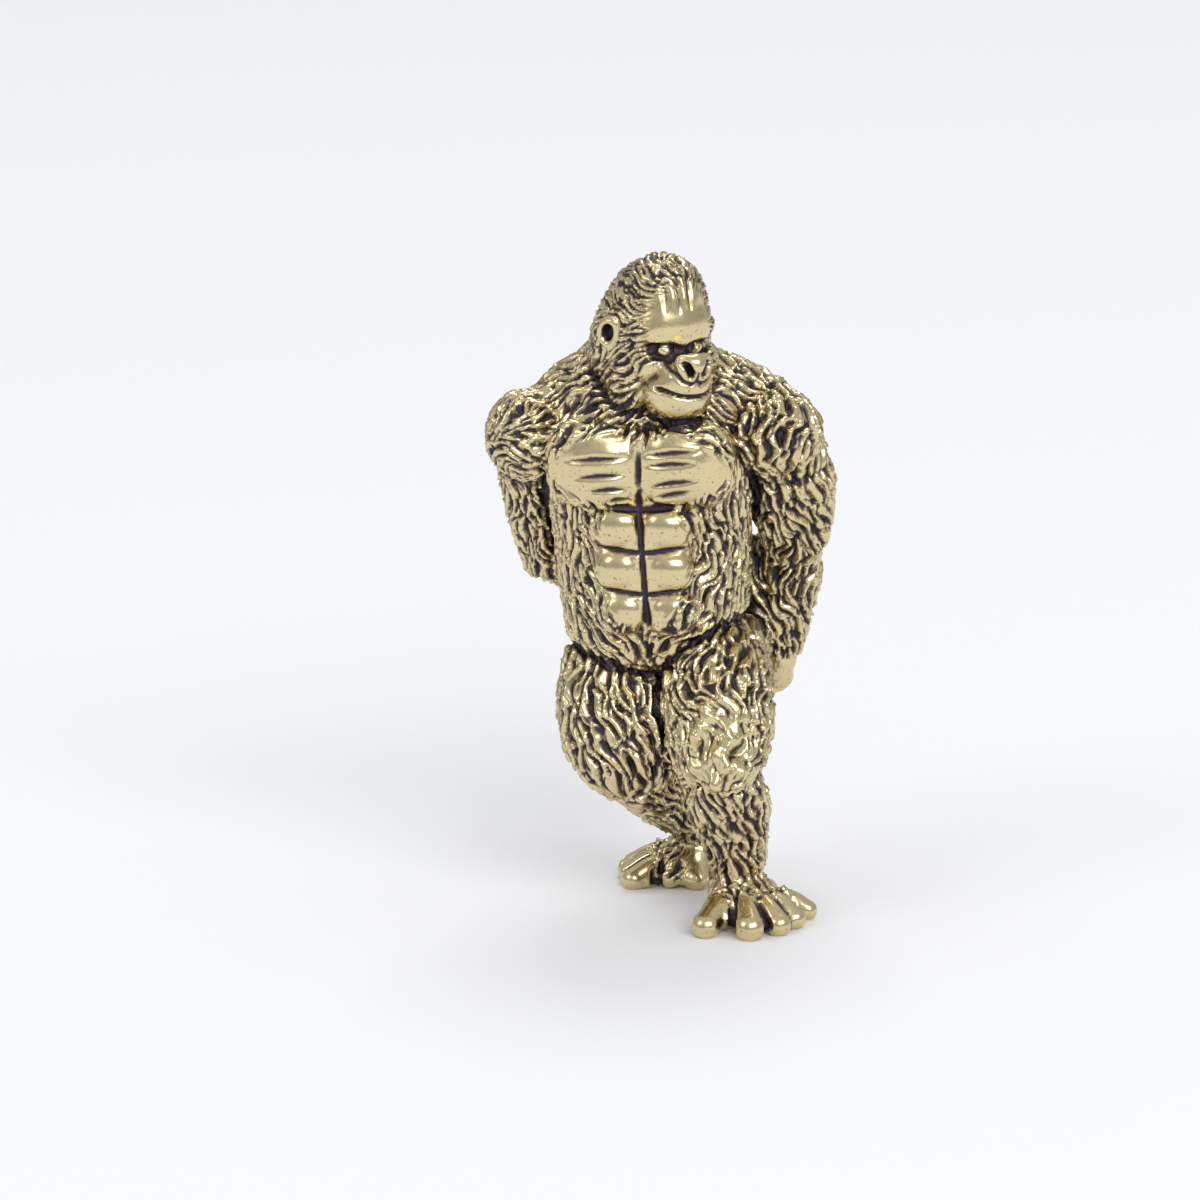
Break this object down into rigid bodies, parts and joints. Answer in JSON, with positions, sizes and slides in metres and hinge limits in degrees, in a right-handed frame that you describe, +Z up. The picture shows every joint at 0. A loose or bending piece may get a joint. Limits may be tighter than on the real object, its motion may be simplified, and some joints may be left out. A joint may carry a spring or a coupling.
{
  "type": "gorilla figurine",
  "caption": "Small antiqued-brass gorilla figurine that strolls upright with its hands behind its back, standing on both feet.",
  "frame": {"origin": "on the ground, under the middle of the figure's bounding box", "axes": "+Z up; the figure faces -Y, and its own left side is +X"},
  "size_m": [0.0308, 0.027, 0.059],
  "materials": {
    "cast_brass": "antiqued",
    "drawn_brass": "bright"
  },
  "bodies": {
    "root": {"torso": "cast_brass", "head": "cast_brass", "left_upper_arm": "cast_brass", "right_upper_arm": "cast_brass", "left_forearm": "cast_brass", "right_forearm": "cast_brass", "left_hand": "cast_brass", "right_hand": "cast_brass", "left_thigh": "cast_brass", "right_thigh": "cast_brass", "left_shin": "cast_brass", "right_shin": "cast_brass", "left_foot": "cast_brass", "right_foot": "cast_brass", "neck_dowel": "drawn_brass", "left_shoulder_dowel": "drawn_brass", "right_shoulder_dowel": "drawn_brass", "left_elbow_dowel": "drawn_brass", "right_elbow_dowel": "drawn_brass", "left_wrist_dowel": "drawn_brass", "right_wrist_dowel": "drawn_brass", "left_hip_dowel": "drawn_brass", "right_hip_dowel": "drawn_brass", "left_knee_dowel": "drawn_brass", "right_knee_dowel": "drawn_brass", "left_ankle_dowel": "drawn_brass", "right_ankle_dowel": "drawn_brass"}
  },
  "joints": []
}
